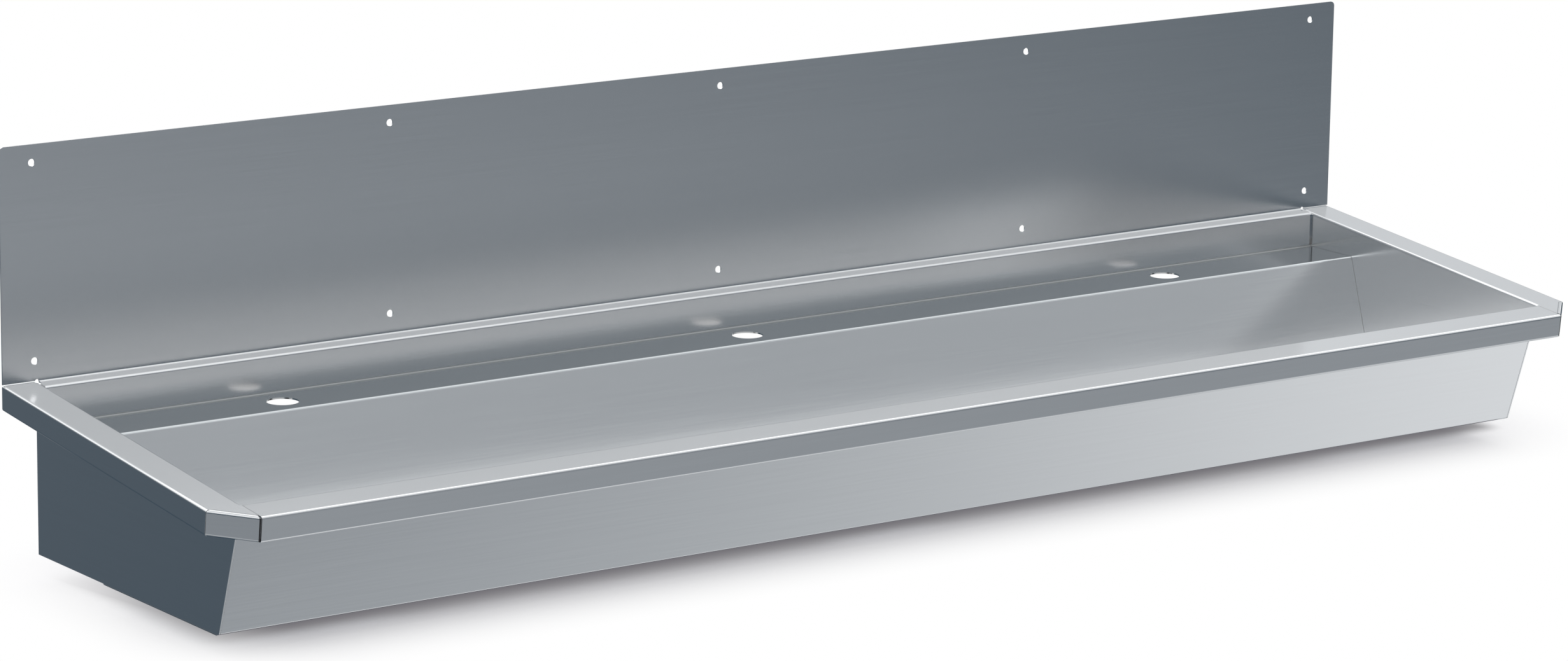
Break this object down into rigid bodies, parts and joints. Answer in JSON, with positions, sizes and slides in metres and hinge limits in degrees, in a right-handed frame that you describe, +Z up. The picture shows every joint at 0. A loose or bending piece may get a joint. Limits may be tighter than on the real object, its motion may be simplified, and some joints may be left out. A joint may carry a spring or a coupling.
{
  "type": "trough sink",
  "caption": "Wall-hung wash trough of folded stainless sheet with high splashback, sunk tap ledge, sloping basin walls, hemmed rim with cut corners and a strainer waste.",
  "frame": {"origin": "on the wall face of the splashback, at the centre of its pattern of screw holes", "axes": "+X along the trough to the user's right, -Y towards the user, +Y into the wall, +Z up"},
  "size_m": [1.8, 0.4577, 0.463],
  "materials": {
    "satin_stainless": "satin, fine grain along the length",
    "mill_stainless": "mill finish, matt",
    "turned_stainless": "turned, fine concentric grain",
    "polished_stainless": "polished",
    "black_rubber": "moulded, matt",
    "white_plastic": "moulded, matt",
    "deadening_pad": "bitumen felt, matt",
    "brass": "turned"
  },
  "bodies": {
    "root": {"splash_sheet": "satin_stainless", "basin_pan": "satin_stainless", "end_panel_left": "satin_stainless", "end_panel_right": "satin_stainless", "corner_apron_left": "satin_stainless", "corner_apron_right": "satin_stainless", "wall_web_left": "mill_stainless", "wall_web_right": "mill_stainless", "waste_body": "turned_stainless", "waste_gasket": "black_rubber", "waste_rubber_washer": "black_rubber", "waste_slip_washer": "white_plastic", "waste_lock_nut": "turned_stainless", "strainer_grate": "polished_stainless", "strainer_screw": "polished_stainless", "floor_pad_left": "deadening_pad", "floor_pad_right": "deadening_pad", "back_pad_left": "deadening_pad", "back_pad_right": "deadening_pad", "earth_lug": "mill_stainless", "earth_screw": "brass", "earth_nut": "brass"}
  },
  "joints": []
}
